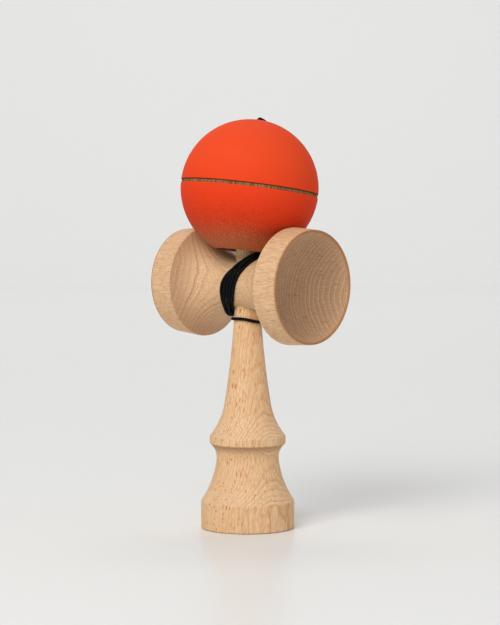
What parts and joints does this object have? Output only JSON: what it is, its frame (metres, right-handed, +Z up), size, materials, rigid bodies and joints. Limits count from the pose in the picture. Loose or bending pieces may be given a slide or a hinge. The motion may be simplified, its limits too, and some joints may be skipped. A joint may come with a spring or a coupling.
{
  "type": "kendama",
  "caption": "Wooden cup-and-ball toy: turned handle with spike and base cup, cross piece with two cups, drilled painted ball resting on top, string wound round the cross piece.",
  "frame": {"origin": "centre of the base rim, on the plane that the handle stands on", "axes": "+Z up along the handle towards the spike, +X along the cross piece towards the larger cup, +Y towards the side where the string leaves the cross piece"},
  "size_m": [0.0746, 0.0607, 0.1791],
  "materials": {
    "beech": "sanded beech, unvarnished",
    "paint": "matte orange-red paint over wood",
    "bead": "plain turned wood",
    "cord": "braided black cord"
  },
  "bodies": {
    "ken": {"ken": "beech", "sarado": "beech", "ken_knot": "cord", "string_wrap": "cord", "string_run": "cord"},
    "bead": {"bead": "bead", "bead_knot": "cord", "string_end": "cord"},
    "tama": {"tama": "paint"}
  },
  "joints": [
    {"name": "tama_lift", "type": "slide", "parent": "ken", "child": "bead", "axis": [0, 0, 1], "range_m": [0, 0.06], "deforming": ["string_run"]},
    {"name": "tama_spin", "type": "hinge", "parent": "bead", "child": "tama", "pos_m": [0.00051, 0.0007, 0.14854], "axis": [0.0207, 0.1495, 0.9885], "continuous": true}
  ]
}
